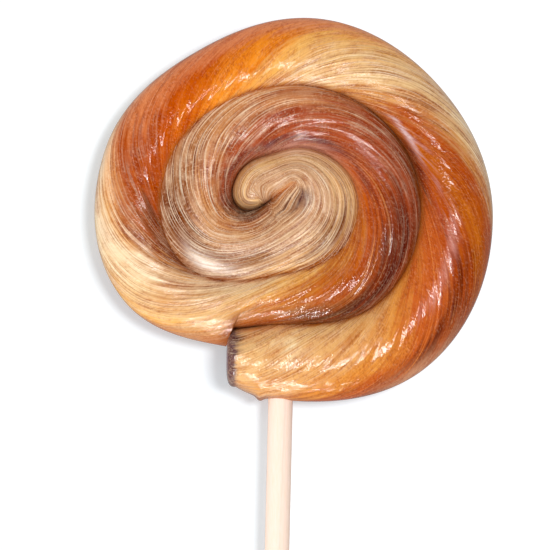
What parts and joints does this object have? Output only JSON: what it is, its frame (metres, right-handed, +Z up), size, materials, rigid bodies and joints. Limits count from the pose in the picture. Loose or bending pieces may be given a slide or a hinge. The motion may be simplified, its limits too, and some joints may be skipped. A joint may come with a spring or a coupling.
{
  "type": "swirl lollipop",
  "caption": "Hand-pulled swirl lollipop: one twisted rope of satin sugar coiled into a flat round head, held on a round rolled-paper stick, lying on its back.",
  "frame": {"origin": "under the eye of the swirl, on the flat back that the head lies on", "axes": "+Z up out of the shown face of the head, +Y from the stick towards the top of the head"},
  "size_m": [0.0762, 0.2146, 0.012],
  "materials": {
    "pulled_sugar": "boiled sugar pulled to a satin gloss, amber and cream with rust, maroon and mauve streaks",
    "rolled_paper": "smooth waxed cream paper, rolled tight"
  },
  "bodies": {
    "root": {"candy_swirl": "pulled_sugar", "paper_stick": "rolled_paper"}
  },
  "joints": []
}
